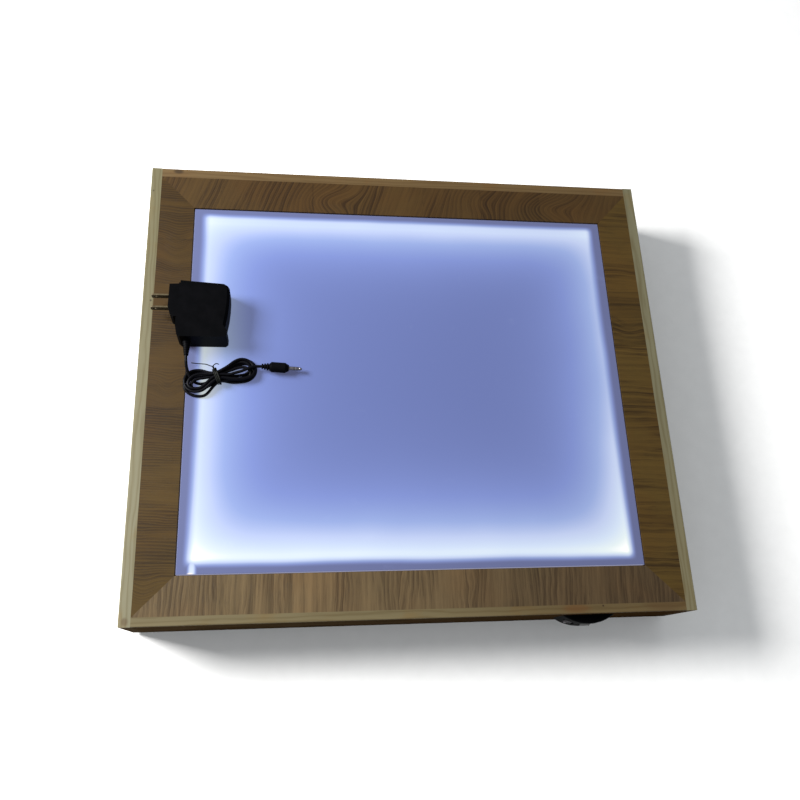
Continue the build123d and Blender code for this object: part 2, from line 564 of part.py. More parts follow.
parts["cord_tail"] = cyl(tail_start, axis, CORD_D / 2, 8.8) - hank

# ---------------------------------------------------------------- write
y_lo = min(p.bounding_box().min.Y for p in parts.values())
y_hi = D2
Y_SHIFT = -(y_lo + y_hi) / 2
print("y shift", Y_SHIFT, "front", y_lo)
lo = [1e9] * 3
hi = [-1e9] * 3
for name, shape in parts.items():
    s = Pos(0, Y_SHIFT, 0) * shape
    n = len(s.solids())
    bb = s.bounding_box()
    for i, (a, b) in enumerate(((bb.min.X, bb.max.X), (bb.min.Y, bb.max.Y), (bb.min.Z, bb.max.Z))):
        lo[i] = min(lo[i], a)
        hi[i] = max(hi[i], b)
    print(f"{name:24s} solids {n:3d} vol {s.volume:12.1f}  x {bb.min.X:.1f}..{bb.max.X:.1f} y {bb.min.Y:.1f}..{bb.max.Y:.1f} z {bb.min.Z:.1f}..{bb.max.Z:.1f}")
    export_step(s, "parts/" + name + ".step")
print("nodes", len(parts), "lo", [round(v, 3) for v in lo], "hi", [round(v, 3) for v in hi])
print("pivot", SWITCH_X, round(py + Y_SHIFT, 4), HOUSE_Z, "jack", JACK_X, round(sf - JACK_NUT_T - 0.6 + Y_SHIFT, 4), HOUSE_Z)
print("cord exit", [round(lead_pts[0][0], 2), round(lead_pts[0][1] + Y_SHIFT, 3), lead_pts[0][2]])
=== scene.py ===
import bpy, bmesh, math
from mathutils import Matrix, Vector


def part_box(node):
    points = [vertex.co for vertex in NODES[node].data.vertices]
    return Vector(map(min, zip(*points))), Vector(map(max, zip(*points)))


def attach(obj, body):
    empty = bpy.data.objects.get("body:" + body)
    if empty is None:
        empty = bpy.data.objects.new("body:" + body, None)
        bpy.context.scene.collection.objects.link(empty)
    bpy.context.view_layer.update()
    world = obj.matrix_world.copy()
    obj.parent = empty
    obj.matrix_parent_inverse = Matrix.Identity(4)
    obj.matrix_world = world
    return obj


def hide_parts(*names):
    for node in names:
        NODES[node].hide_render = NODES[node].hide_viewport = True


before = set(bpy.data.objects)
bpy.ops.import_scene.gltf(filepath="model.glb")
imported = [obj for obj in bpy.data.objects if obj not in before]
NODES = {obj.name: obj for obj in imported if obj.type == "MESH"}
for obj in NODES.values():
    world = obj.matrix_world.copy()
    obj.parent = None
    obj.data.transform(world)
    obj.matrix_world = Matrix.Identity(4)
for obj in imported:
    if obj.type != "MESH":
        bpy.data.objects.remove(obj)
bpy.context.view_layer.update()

YS = 0.0043475          # the plan centre of the box, front to back, in this frame
P_LO, P_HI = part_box("diffuser_panel")
PAN_Z = P_HI[2]

# ------------------------------------------------------------------ camera
cam_d = bpy.data.cameras.new("cam")
cam = bpy.data.objects.new("cam", cam_d)
bpy.context.scene.collection.objects.link(cam)
right = Vector((0.99088, -0.03840, 0.12915))
up = Vector((-0.00683, 0.94298, 0.33279))
back = Vector((-0.13456, -0.33064, 0.93412))
cam.matrix_world = Matrix((
    (right.x, up.x, back.x, -0.115),
    (right.y, up.y, back.y, -0.27365),
    (right.z, up.z, back.z, 0.7935),
    (0, 0, 0, 1)))
cam_d.lens = 35.685
cam_d.sensor_width = 36
cam_d.clip_start = 0.01
cam_d.clip_end = 50
bpy.context.scene.camera = cam
bpy.context.scene.view_settings.view_transform = "Standard"

# ------------------------------------------------------------------ node helpers


def lin(*c):
    """linear values of an 8-bit colour"""
    out = []
    for v in c:
        v /= 255
        out.append(v / 12.92 if v <= 0.04045 else ((v + 0.055) / 1.055) ** 2.4)
    return (*out, 1)


class Net:
    def __init__(self, name):
        self.mat = bpy.data.materials.new(name)
        self.mat.use_nodes = True
        self.t = self.mat.node_tree
        self.t.nodes.clear()
        self.out = self.t.nodes.new("ShaderNodeOutputMaterial")
        self.bsdf = self.t.nodes.new("ShaderNodeBsdfPrincipled")
        self.t.links.new(self.bsdf.outputs[0], self.out.inputs[0])
        tc = self.t.nodes.new("ShaderNodeTexCoord")
        self.co = tc.outputs["Object"]
        s = self.t.nodes.new("ShaderNodeSeparateXYZ")
        self.t.links.new(self.co, s.inputs[0])
        self.x, self.y, self.z = s.outputs

    def link(self, v, sock):
        if isinstance(v, bpy.types.NodeSocket):
            self.t.links.new(v, sock)
        elif isinstance(v, (tuple, list)) and len(v) == 4 and sock.type == "VECTOR":
            sock.default_value = v[:3]
        else:
            sock.default_value = v

    def math(self, op, a, b=None, c=None, clamp=False):
        n = self.t.nodes.new("ShaderNodeMath")
        n.operation = op
        n.use_clamp = clamp
        for i, v in enumerate((a, b, c)):
            if v is not None:
                self.link(v, n.inputs[i])
        return n.outputs[0]

    def add(self, a, b): return self.math("ADD", a, b)
    def sub(self, a, b): return self.math("SUBTRACT", a, b)
    def mul(self, a, b): return self.math("MULTIPLY", a, b)
    def mx(self, a, b): return self.math("MAXIMUM", a, b)
    def mn(self, a, b): return self.math("MINIMUM", a, b)

    def vec(self, x, y, z):
        n = self.t.nodes.new("ShaderNodeCombineXYZ")
        for i, v in enumerate((x, y, z)):
            self.link(v, n.inputs[i])
        return n.outputs[0]

    def smooth(self, v, a, b, lo=0.0, hi=1.0, kind="SMOOTHSTEP"):
        n = self.t.nodes.new("ShaderNodeMapRange")
        n.interpolation_type = kind
        for i, q in enumerate((v, a, b, lo, hi)):
            self.link(q, n.inputs[i])
        return n.outputs[0]

    def noise(self, v, scale=1.0, detail=3.0, rough=0.55, dist=0.0, colour=False):
        n = self.t.nodes.new("ShaderNodeTexNoise")
        self.link(v, n.inputs["Vector"])
        n.inputs["Scale"].default_value = scale
        n.inputs["Detail"].default_value = detail
        n.inputs["Roughness"].default_value = rough
        n.inputs["Distortion"].default_value = dist
        return n.outputs[1 if colour else 0]

    def voronoi(self, v, scale=1.0, feature="F1", out=0):
        n = self.t.nodes.new("ShaderNodeTexVoronoi")
        n.feature = feature
        self.link(v, n.inputs["Vector"])
        n.inputs["Scale"].default_value = scale
        return n.outputs[out]

    def ramp(self, v, stops, kind="LINEAR"):
        n = self.t.nodes.new("ShaderNodeValToRGB")
        n.color_ramp.interpolation = kind
        els = n.color_ramp.elements
        while len(els) > 1:
            els.remove(els[-1])
        for i, (p, c) in enumerate(stops):
            e = els[0] if i == 0 else els.new(p)
            e.position = p
            e.color = c if isinstance(c, (tuple, list)) else (c, c, c, 1)
        self.link(v, n.inputs[0])
        return n.outputs[0]

    def mix(self, f, a, b, mode="MIX"):
        n = self.t.nodes.new("ShaderNodeMix")
        n.data_type = "RGBA"
        n.blend_type = mode
        self.link(f, n.inputs[0])
        self.link(a, n.inputs[6])
        self.link(b, n.inputs[7])
        return n.outputs[2]

    def scale(self, col, f):
        return self.mix(1.0, col, self.vec(f, f, f), "MULTIPLY")

    def spot(self, a, b, a0, b0, ra, rb, soft=0.6):
        """1 inside an ellipse on the plane (a, b), 0 outside"""
        u = self.mul(self.sub(a, a0), 1 / ra)
        v = self.mul(self.sub(b, b0), 1 / rb)
        r = self.math("SQRT", self.add(self.mul(u, u), self.mul(v, v)))
        return self.smooth(r, 1 - soft, 1 + soft * 0.3, 1.0, 0.0)

    def bump(self, h, strength=0.3, dist=0.001, prev=None):
        n = self.t.nodes.new("ShaderNodeBump")
        n.inputs["Strength"].default_value = strength
        n.inputs["Distance"].default_value = dist
        self.link(h, n.inputs["Height"])
        if prev is not None:
            self.t.links.new(prev, n.inputs["Normal"])
        self.t.links.new(n.outputs[0], self.bsdf.inputs["Normal"])
        return n.outputs[0]

    def set(self, **kw):
        names = dict(color="Base Color", rough="Roughness", metal="Metallic", ior="IOR", spec="Specular IOR Level",
                     coat="Coat Weight", coat_rough="Coat Roughness", emit="Emission Color", power="Emission Strength",
                     sheen="Sheen Weight", sheen_rough="Sheen Roughness", sub="Subsurface Weight", aniso="Anisotropic")
        for k, v in kw.items():
            self.link(v, self.bsdf.inputs[names[k]])
        return self.mat


def paint(mat, *names):
    for nm in names:
        ob = NODES[nm]
        ob.data.materials.clear()
        ob.data.materials.append(mat)


# ------------------------------------------------------------------ woods
# colour gains, one per board
GP_L = (0.300, 0.316, 0.320)
GP_R = (0.286, 0.288, 0.262)
GP_B = (0.180, 0.128, 0.076)
GP_F = (0.222, 0.205, 0.165)
GO_L = (0.204, 0.178, 0.074)
GO_R = (0.232, 0.206, 0.098)
GO_B = (0.184, 0.151, 0.094)
GO_F = (0.405, 0.390, 0.368)
def oak(name, g, t, z, tones, seams, light, dark, gain=(1, 1, 1), streak=0.5, ring=0.0062, warp=1.0, seed=0.0,
        cathedral=None, bands=None, diag=0.0, contrast=1.0, lines=0.5, light_falloff_and_tone=None):
    """Open-grained veneer. g runs along the fibres, t across them. tones is a list of (place along t, brightness)."""
    n = Net(name)
    G = {"x": n.x, "y": n.y}[g]
    T = {"x": n.x, "y": n.y}[t]
    t0, t1 = tones[0][0], tones[-1][0]
    tn = n.smooth(T, t0, t1, 0.0, 1.0, "LINEAR")
    tone = n.ramp(tn, [(min(1.0, (p - t0) / (t1 - t0)), v) for p, v in tones[:-1]], "CONSTANT")
    tv = n.math("ADD", tone, 0.0)
    Gs = n.add(G, n.mul(tv, 1.37))
    Ts = n.add(n.add(T, n.mul(G, diag)), seed)
    for (gc, tc, ag, at, amp) in cathedral or ():
        du = n.mul(n.sub(G, gc), 1 / ag)
        dv = n.mul(n.sub(T, tc), 1 / at)
        rr = n.add(n.mul(du, du), n.mul(dv, dv))
        Ts = n.add(Ts, n.mul(n.math("POWER", 2.718, n.mul(rr, -1.0)), amp))
    low = n.noise(n.vec(n.mul(Gs, 8.0), n.mul(Ts, 24.0), n.mul(n.z, 20.0)), 1.0, 3.0, 0.55)
    mid = n.noise(n.vec(n.mul(Gs, 22.0), n.mul(Ts, 90.0), n.mul(n.z, 60.0)), 1.0, 2.0, 0.5)
    wv = n.add(Ts, n.add(n.mul(n.sub(low, 0.5), 0.021 * warp), n.mul(n.sub(mid, 0.5), 0.0030)))
    # growth rings: a slow rise and a sharp fall, of uneven width and strength
    ph = n.math("FRACT", n.mul(wv, 1 / ring))
    rings = n.mul(n.smooth(ph, 0.0, 0.78), n.smooth(ph, 0.86, 1.0, 1.0, 0.0))
    ph2 = n.math("FRACT", n.mul(wv, 2.63 / ring))
    rings2 = n.mul(n.smooth(ph2, 0.0, 0.7), n.smooth(ph2, 0.8, 1.0, 1.0, 0.0))
    fade = n.noise(n.vec(n.mul(Gs, 11.0), n.mul(Ts, 42.0), 4.4 + seed), 1.0, 2.0, 0.5)
    rk = n.smooth(fade, 0.34, 0.66, 0.15, 1.0)
    rings = n.mul(n.add(n.mul(rings, 0.65), n.mul(rings2, 0.35)), rk)
    fibre = n.noise(n.vec(n.mul(Gs, 48.0), n.mul(Ts, 1500.0), n.mul(n.z, 1500.0)), 1.0, 4.0, 0.62)
    broad = n.noise(n.vec(n.mul(Gs, 13.0), n.mul(Ts, 210.0), n.mul(n.z, 100.0)), 1.0, 3.0, 0.6)
    pore = n.noise(n.vec(n.mul(Gs, 80.0), n.mul(n.add(Ts, n.mul(mid, 0.0006)), 2600.0), n.mul(n.z, 2400.0)), 1.0, 2.0, 0.5)
    pore = n.mul(n.smooth(pore, 0.56, 0.70, 0.0, 1.0), n.smooth(rings, 0.0, 0.5, 0.35, 1.0))
    v = n.add(n.mul(rings, 0.46 * lines), n.add(n.mul(fibre, 0.30), n.mul(broad, 0.62 * streak)))
    v = n.smooth(v, 0.5 - 0.32 / contrast + 0.02, 0.5 + 0.30 / contrast, 0.0, 1.0, "LINEAR")
    col = n.ramp(v, [(0.0, light), (0.45, tuple(a * 0.60 + b * 0.40 for a, b in zip(light, dark))), (1.0, dark)])
    col = n.mix(n.mul(pore, 0.50), col, tuple(c * 0.45 for c in dark[:3]) + (1,))
    # broad slow colour drift, redder here and greyer there
    drift = n.noise(n.vec(n.mul(G, 16.0), n.mul(T, 13.0), 3.7 + seed), 1.0, 3.0, 0.55)
    col = n.mix(n.smooth(drift, 0.42, 0.68, 0.0, 0.55), col, n.mix(1.0, col, (1.06, 0.94, 0.84, 1), "MULTIPLY"))
    col = n.mix(n.smooth(drift, 0.30, 0.46, 0.45, 0.0), col, n.mix(1.0, col, (0.95, 0.99, 0.94, 1), "MULTIPLY"))
    for (p, w, k) in bands or ():
        off = n.add(n.mul(n.sub(low, 0.5), 0.010), n.mul(n.sub(mid, 0.5), 0.004))
        b = n.smooth(n.math("ABSOLUTE", n.sub(n.add(T, off), p)), w * 0.25, w, 1.0, 0.0)
        b = n.mul(b, n.smooth(broad, 0.30, 0.60, 0.45, 1.0))
        col = n.mix(b, col, n.scale(col, k))
    col = n.scale(col, n.mul(tv, 2.0))
    for p in seams:
        s = n.smooth(n.math("ABSOLUTE", n.sub(T, p)), 0.00015, 0.0005, 0.40, 0.0)
        col = n.mix(s, col, tuple(c * 0.35 for c in dark[:3]) + (1,))
    col = n.mix(1.0, col, (*gain, 1), "MULTIPLY")
    # painted light falloff across the board, partly the board's own tone: darker towards one end
    if light_falloff_and_tone:
        axis, a, b, k = light_falloff_and_tone
        col = n.mix(n.smooth({"x": n.x, "y": n.y}[axis], a, b), col, n.mix(1.0, col, (*k, 1), "MULTIPLY"))
    n.set(color=col, rough=n.add(n.mul(fibre, 0.16), 0.46), spec=0.14)
    h = n.sub(n.mul(fibre, 0.6), n.mul(pore, 0.9))
    n.bump(h, 0.26, 0.0004)
    return n.mat


def pine(name, g, t, light, dark, seed=0.0, edge=None, spots=(), painted_shade_face=None, rough=0.5, gain=(1, 1, 1), light_falloff_and_tone=None):
    """Plain softwood rail. g runs along the fibres."""
    n = Net(name)
    G = {"x": n.x, "y": n.y}[g]
    T = {"x": n.x, "y": n.y}[t]
    low = n.noise(n.vec(n.add(n.mul(G, 7.0), seed), n.mul(T, 60.0), n.mul(n.z, 60.0)), 1.0, 3.0, 0.55)
    wv = n.add(T, n.add(n.mul(n.z, 0.6), n.mul(n.sub(low, 0.5), 0.022)))
    rings = n.math("SINE", n.mul(wv, 2 * math.pi / 0.0052))
    rings = n.math("POWER", n.math("MULTIPLY_ADD", rings, 0.5, 0.5), 2.2)
    fibre = n.noise(n.vec(n.mul(G, 30.0), n.mul(T, 1300.0), n.mul(n.z, 1300.0)), 1.0, 4.0, 0.6)
    patch = n.noise(n.vec(n.add(n.mul(G, 17.0), seed), n.mul(T, 90.0), n.mul(n.z, 45.0)), 1.0, 4.0, 0.6)
    v = n.add(n.mul(rings, 0.42), n.add(n.mul(fibre, 0.34), n.mul(patch, 0.4)))
    v = n.smooth(v, 0.22, 0.86, 0.0, 1.0, "LINEAR")
    col = n.ramp(v, [(0.0, light), (1.0, dark)])
    warm = n.smooth(n.noise(n.vec(n.add(n.mul(G, 24.0), seed * 3), n.mul(T, 40.0), n.mul(n.z, 40.0)), 1.0, 3.0, 0.6), 0.52, 0.72, 0.0, 0.55)
    col = n.mix(warm, col, n.mix(1.0, col, (1.05, 0.84, 0.55, 1), "MULTIPLY"))
    if edge:
        # the outer edge is planed and rubbed lighter
        e0, e1 = edge
        e = n.smooth(T, e0, e1, 0.0, 0.35)
        col = n.mix(e, col, n.scale(col, 1.22))
    for (a0, b0, ra, rb, c, k) in spots:
        sp = n.spot(n.add(n.x, n.mul(n.sub(patch, 0.5), ra * 0.8)), n.add(n.y, n.mul(n.sub(low, 0.5), rb * 0.8)), a0, b0, ra, rb)
        col = n.mix(n.mul(sp, k), col, c)
    # painted shade on the front face of the rail, which faces away from the key light
    if painted_shade_face:
        axis, a, b, c, k = painted_shade_face
        A = {"x": n.x, "y": n.y}[axis]
        f = n.smooth(A, a, b, k, 0.0)
        # the painted shade stops below the top arris
        f = n.mul(f, n.smooth(n.z, 0.0735, 0.0748, 1.0, 0.0))
        # the grain shows more under the painted shade
        painted_shade_col = n.mix(1.0, col, n.ramp(v, [(0.0, tuple(q * 1.25 for q in c[:3]) + (1,)), (1.0, tuple(q * 0.66 for q in c[:3]) + (1,))]), "MULTIPLY")
        col = n.mix(f, col, painted_shade_col)
    col = n.mix(1.0, col, (*gain, 1), "MULTIPLY")
    # painted light falloff across the board, partly the board's own tone: darker towards one end
    if light_falloff_and_tone:
        axis, a, b, k = light_falloff_and_tone
        col = n.mix(n.smooth({"x": n.x, "y": n.y}[axis], a, b), col, n.mix(1.0, col, (*k, 1), "MULTIPLY"))
    sp = n.smooth(f, 0.0, 1.0, 0.22, 0.0) if painted_shade_face else 0.22
    n.set(color=col, rough=n.add(n.mul(fibre, 0.2), rough), spec=sp)
    n.bump(n.add(n.mul(fibre, 0.6), n.mul(rings, 0.25)), 0.22, 0.0003)
    return n.mat


L_PINE = lin(180, 170, 138)
D_PINE = lin(158, 144, 108)
# darkening factor of the painted shade on the rails' front faces
PAINTED_SHADE = (0.38, 0.300, 0.300, 1)
paint(pine("pine_left", "y", "x", L_PINE, D_PINE, 1.3, (-0.2515, -0.2598),
           [(-0.2545, -0.2200, 0.0036, 0.0040, lin(120, 88, 56), 0.55), (-0.2520, 0.0815, 0.0012, 0.0012, lin(70, 50, 30), 0.8),
            (-0.2570, 0.2060, 0.0010, 0.0012, lin(70, 50, 30), 0.7)], painted_shade_face=("y", -0.22455, -0.2240, PAINTED_SHADE, 1.0), gain=GP_L, light_falloff_and_tone=("y", -0.18, 0.18, (0.70, 0.68, 0.58))), "left_rail")
paint(pine("pine_right", "y", "x", L_PINE, D_PINE, 4.1, (0.2515, 0.2598), painted_shade_face=("y", -0.22455, -0.2240, PAINTED_SHADE, 1.0), gain=GP_R, light_falloff_and_tone=("y", -0.22, 0.02, (0.88, 0.92, 0.96))), "right_rail")
paint(pine("pine_rear", "x", "y", L_PINE, D_PINE, 7.7, (0.2260, 0.2330),
           [(-0.2330, 0.2300, 0.0060, 0.0030, lin(60, 48, 30), 0.7)], gain=GP_B), "rear_rail")
paint(pine("pine_front", "x", "y", L_PINE, D_PINE, 2.9, (-0.2180, -0.2240),
           [(0.1440, -0.2200, 0.0140, 0.0050, lin(176, 122, 62), 0.50), (0.1690, -0.2182, 0.0010, 0.0010, lin(70, 45, 24), 0.85),
            (0.2260, -0.2200, 0.0200, 0.0060, lin(150, 112, 66), 0.40)],
           painted_shade_face=("y", -0.22455, -0.2240, PAINTED_SHADE, 1.0), gain=GP_F, light_falloff_and_tone=("x", -0.05, 0.16, (0.77, 0.66, 0.52))), "front_rail")

LO = lin(136, 112, 74)
DO = lin(88, 68, 42)
paint(oak("oak_left", "x", "y", "z",
          [(-0.215, 0.50), (-0.172, 0.470), (-0.136, 0.525), (-0.062, 0.495), (-0.030, 0.46), (-0.004, 0.515), (0.036, 0.50), (0.098, 0.47), (0.150, 0.505), (0.188, 0.46), (0.225, 0.5)],
          [-0.172, 0.036, 0.150], LO, DO, GO_L, 0.60, 0.0025, 0.75, 0.0,
          [(-0.2310, -0.012, 0.010, 0.014, 0.008), (-0.2420, -0.200, 0.012, 0.016, 0.006), (-0.2300, 0.140, 0.012, 0.030, 0.008)],
          [(-0.0300, 0.0022, 0.78), (-0.0365, 0.0016, 0.76), (-0.0440, 0.0014, 0.82), (-0.0060, 0.0020, 0.82), (-0.1500, 0.010, 1.05)], diag=0.05, contrast=1.35, lines=1.0, light_falloff_and_tone=("y", -0.20, 0.02, (0.80, 0.74, 0.74))), "left_border")
paint(oak("oak_right", "x", "y", "z",
          [(-0.215, 0.50), (-0.150, 0.47), (-0.128, 0.51), (-0.070, 0.47), (-0.020, 0.50), (0.030, 0.54), (0.0395, 0.455), (0.0540, 0.425), (0.0745, 0.36), (0.0900, 0.425), (0.1035, 0.50), (0.165, 0.475), (0.225, 0.5)],
          [-0.150, -0.020, 0.0395, 0.0745, 0.1035, 0.165], LO, DO, GO_R, 0.50, 0.0068, 0.8, 0.31,
          [(0.2330, 0.065, 0.013, 0.012, 0.008)],
          [(0.0440, 0.0016, 0.72), (0.0500, 0.0020, 0.74), (0.0570, 0.0016, 1.16), (0.0650, 0.0030, 0.66), (0.0700, 0.0012, 0.72), (0.0805, 0.0024, 1.16), (0.0880, 0.0018, 0.62), (0.0930, 0.0018, 0.74)],
          diag=0.03, contrast=1.45, lines=0.95), "right_border")
paint(oak("oak_front", "y", "x", "z",
          [(-0.255, 0.50), (-0.170, 0.49), (-0.120, 0.52), (-0.068, 0.48), (-0.020, 0.50), (0.040, 0.48), (0.110, 0.51), (0.170, 0.47), (0.255, 0.5)],
          [-0.020, 0.110], lin(140, 120, 88), lin(88, 72, 50), GO_F, 0.85, 0.0047, 1.2, 0.77, None,
          [(-0.1700, 0.0040, 1.15), (-0.1640, 0.0020, 0.80), (-0.1570, 0.0040, 1.22), (-0.1500, 0.0022, 0.76), (-0.1420, 0.0065, 1.26), (-0.1330, 0.0018, 0.78),
           (-0.1250, 0.0060, 1.24), (-0.1160, 0.0028, 0.70), (-0.1100, 0.0040, 1.20), (-0.1040, 0.0016, 0.74), (-0.0990, 0.0034, 1.22), (-0.0930, 0.0014, 0.78),
           (0.1860, 0.0020, 1.22), (0.1905, 0.0016, 0.74), (0.1960, 0.0022, 1.15)],
          diag=-0.03, contrast=1.35, lines=0.6, light_falloff_and_tone=("x", -0.06, 0.20, (0.64, 0.60, 0.58))), "front_border")
paint(oak("oak_rear", "y", "x", "z",
          [(-0.255, 0.50), (-0.190, 0.475), (-0.095, 0.51), (0.020, 0.48), (0.085, 0.46), (0.150, 0.50), (0.255, 0.5)],
          [-0.095, 0.085], LO, DO, GO_B, 0.50, 0.0056, 0.9, 0.13,
          [(0.2030, 0.155, 0.016, 0.034, 0.026), (0.2100, 0.080, 0.016, 0.022, 0.012), (0.2020, -0.080, 0.014, 0.026, 0.020)],
          diag=-0.35, contrast=1.35, lines=0.95), "rear_border")

inner = pine("inner_pine", "x", "y", lin(196, 178, 140), lin(160, 138, 98), 5.0)
inner_y = pine("inner_pine_y", "y", "x", lin(196, 178, 140), lin(160, 138, 98), 9.0)
paint(inner, "front_cleat", "rear_cleat", "front_ledge", "rear_ledge")
paint(inner_y, "left_cleat", "right_cleat", "left_ledge", "right_ledge")

n = Net("plywood")
gr = n.noise(n.vec(n.mul(n.x, 12.0), n.mul(n.y, 420.0), n.mul(n.z, 900.0)), 1.0, 4.0, 0.6)
bl = n.noise(n.vec(n.mul(n.x, 9.0), n.mul(n.y, 15.0), 0.0), 1.0, 3.0, 0.5)
n.set(color=n.mix(n.smooth(bl, 0.3, 0.7, 0.0, 0.4), n.ramp(gr, [(0.25, lin(196, 168, 124)), (0.75, lin(158, 128, 86))]), lin(150, 116, 78)),
      rough=0.62, spec=0.3)
n.bump(gr, 0.25, 0.0004)
paint(n.mat, "base_panel")

# ------------------------------------------------------------------ lit panel
n = Net("opal_panel")
X0, X1, Y0, Y1 = P_LO[0], P_HI[0], P_LO[1], P_HI[1]
wob = n.mul(n.sub(n.noise(n.vec(n.mul(n.x, 9.0), n.mul(n.y, 9.0), 0.3), 1.0, 2.0, 0.5), 0.5), 0.0035)
dl = n.add(n.sub(n.x, X0), wob)
dr = n.add(n.sub(X1, n.x), wob)
df = n.add(n.sub(n.y, Y0), wob)
db = n.add(n.sub(Y1, n.y), wob)


def fall(d, lam):
    return n.math("POWER", 2.71828, n.mul(n.mx(n.sub(d, 0.016), 0.0), -1.0 / lam))


ampl = n.noise(n.vec(n.mul(n.x, 7.0), n.mul(n.y, 7.0), 9.3), 1.0, 2.0, 0.5)
amp = n.smooth(ampl, 0.25, 0.75, 0.90, 1.10, "LINEAR")
gl = n.mul(fall(dl, 0.034), n.smooth(n.y, Y0, Y1, 0.98, 0.84, "LINEAR"))
gr_ = n.mul(fall(dr, 0.036), n.smooth(n.y, Y0, Y0 + 0.22, 0.98, 0.64))
gf = n.mul(fall(df, 0.035), n.smooth(n.x, X0, X1, 1.10, 1.10, "LINEAR"))
gb = n.mul(fall(db, 0.027), n.smooth(n.x, X0, X1, 0.88, 0.86, "LINEAR"))


def inner_mask(d, a=0.0095, b=0.0165):
    return n.smooth(d, a, b)


ml, mr, mf, mb = inner_mask(n.add(dl, n.smooth(n.y, Y0, Y0 + 0.11, 0.0022, 0.0)), 0.0058, 0.0168), inner_mask(dr, 0.0060, 0.0155), inner_mask(df, 0.0040, 0.0138), inner_mask(db, 0.0035, 0.0115)
gh, gv = n.add(gl, gr_), n.add(gf, gb)
glow = n.math("SQRT", n.add(n.mul(gh, gh), n.mul(gv, gv)))
mask = n.mul(n.mul(ml, mr), n.mul(mf, mb))
sx = n.sub(n.x, X0)
stripe = n.mul(n.mul(n.smooth(sx, 0.0085, 0.0128), n.smooth(sx, 0.0140, 0.0185, 1.0, 0.0)), n.smooth(df, 0.0, 0.030, 1.0, 0.0))
mask = n.mx(mask, n.mul(stripe, 0.72))
glow = n.mul(n.mul(glow, mask), amp)
hazy = n.mul(n.sub(1.0, mask), n.mul(n.mn(glow, 1.0), 0.0))
ec = n.ramp(n.mul(glow, 0.6667), [
    (0.0, (0.0, 0.0, 0.0, 1)),
    (0.167, tuple(a - b for a, b in zip(lin(135, 155, 214), lin(113, 130, 181)))),
    (0.333, tuple(a - b for a, b in zip(lin(160, 182, 231), lin(113, 130, 181)))),
    (0.50, tuple(a - b for a, b in zip(lin(198, 214, 248), lin(113, 130, 181)))),
    (0.667, tuple(a - b for a, b in zip(lin(216, 233, 255), lin(113, 130, 181)))),
    (0.833, tuple(a - b for a, b in zip(lin(236, 250, 255), lin(113, 130, 181)))),
    (1.0, tuple(a * 1.15 - b for a, b in zip(lin(255, 255, 255), lin(113, 130, 181))))])
base_e = n.mix(mask, (0.040, 0.036, 0.060, 1), (0.034, 0.026, 0.036, 1))
em = n.mix(1.0, ec, base_e, "ADD")
leak = n.spot(n.x, n.y, X0 + 0.0122, Y0 + 0.0004, 0.0028, 0.0014, 0.8)
em = n.mix(leak, em, (1.0, 0.84, 0.52, 1))
# light that has entered the sheet comes out at its sawn edges
rim = n.mn(n.mn(n.sub(n.x, X0), n.sub(X1, n.x)), n.mn(n.sub(n.y, Y0), n.sub(Y1, n.y)))
em = n.mix(n.smooth(rim, 0.00012, 0.00030, 1.0, 0.0), em, (0.26, 0.27, 0.40, 1))
fine = n.noise(n.vec(n.mul(n.x, 900.0), n.mul(n.y, 900.0), n.mul(n.z, 900.0)), 1.0, 3.0, 0.6)
dust = n.smooth(n.noise(n.vec(n.mul(n.x, 38.0), n.mul(n.y, 55.0), 1.7), 1.0, 5.0, 0.7), 0.60, 0.80, 0.0, 1.0)
scr = n.noise(n.vec(n.add(n.mul(n.x, 700.0), n.mul(n.y, 260.0)), n.mul(n.y, 9.0), 0.0), 1.0, 2.0, 0.5)
scr = n.smooth(scr, 0.72, 0.80, 0.0, 1.0)
# painted reflection: the blue of this diffuse colour stands in for bluish daylight reflected by the sheet, which is
# white
painted_daylight_col = n.mix(mask, (0.056, 0.070, 0.150, 1), (0.0600, 0.0865, 0.2210, 1))
painted_daylight_col = n.mix(n.mul(dust, 0.16), painted_daylight_col, (0.10, 0.13, 0.26, 1))
n.set(color=painted_daylight_col, rough=n.add(n.add(n.mul(fine, 0.06), n.mul(dust, 0.12)), 0.34), spec=0.28, emit=em, power=1.0)
n.bump(n.add(n.mul(fine, 0.4), n.mul(scr, -0.5)), 0.05, 0.0002)
paint(n.mat, "diffuser_panel")

# ------------------------------------------------------------------ metals, plastics, small parts


def plastic(name, c0, c1, rough, grain=2600.0, bump=0.18, coat=0.0, spec=0.5):
    n = Net(name)
    a = n.noise(n.vec(n.mul(n.x, grain), n.mul(n.y, grain), n.mul(n.z, grain)), 1.0, 3.0, 0.6)
    b = n.noise(n.vec(n.mul(n.x, 70.0), n.mul(n.y, 70.0), n.mul(n.z, 70.0)), 1.0, 4.0, 0.6)
    dustp = n.smooth(n.noise(n.vec(n.mul(n.x, 420.0), n.mul(n.y, 420.0), n.mul(n.z, 420.0)), 1.0, 4.0, 0.7), 0.66, 0.78, 0.0, 0.25)
    col = n.mix(n.smooth(b, 0.3, 0.7), c0, c1)
    col = n.mix(dustp, col, tuple(min(1, v * 2.4 + 0.003) for v in c1[:3]) + (1,))
    n.set(color=col, rough=n.add(n.mul(b, 0.14), rough), spec=spec, coat=coat, coat_rough=0.2)
    n.bump(a, bump, 0.00012)
    return n.mat


def metal(name, c0, c1, rough, scratch_axis="x"):
    n = Net(name)
    A, B = (n.x, n.y) if scratch_axis == "x" else (n.y, n.x)
    s = n.noise(n.vec(n.mul(A, 160.0), n.mul(B, 5200.0), n.mul(n.z, 5200.0)), 1.0, 3.0, 0.6)
    b = n.noise(n.vec(n.mul(n.x, 330.0), n.mul(n.y, 330.0), n.mul(n.z, 330.0)), 1.0, 4.0, 0.6)
    n.set(color=n.mix(n.smooth(b, 0.35, 0.7), c0, c1), rough=n.add(n.add(n.mul(s, 0.14), n.mul(b, 0.12)), rough), metal=1.0)
    n.bump(s, 0.12, 0.0001)
    return n.mat


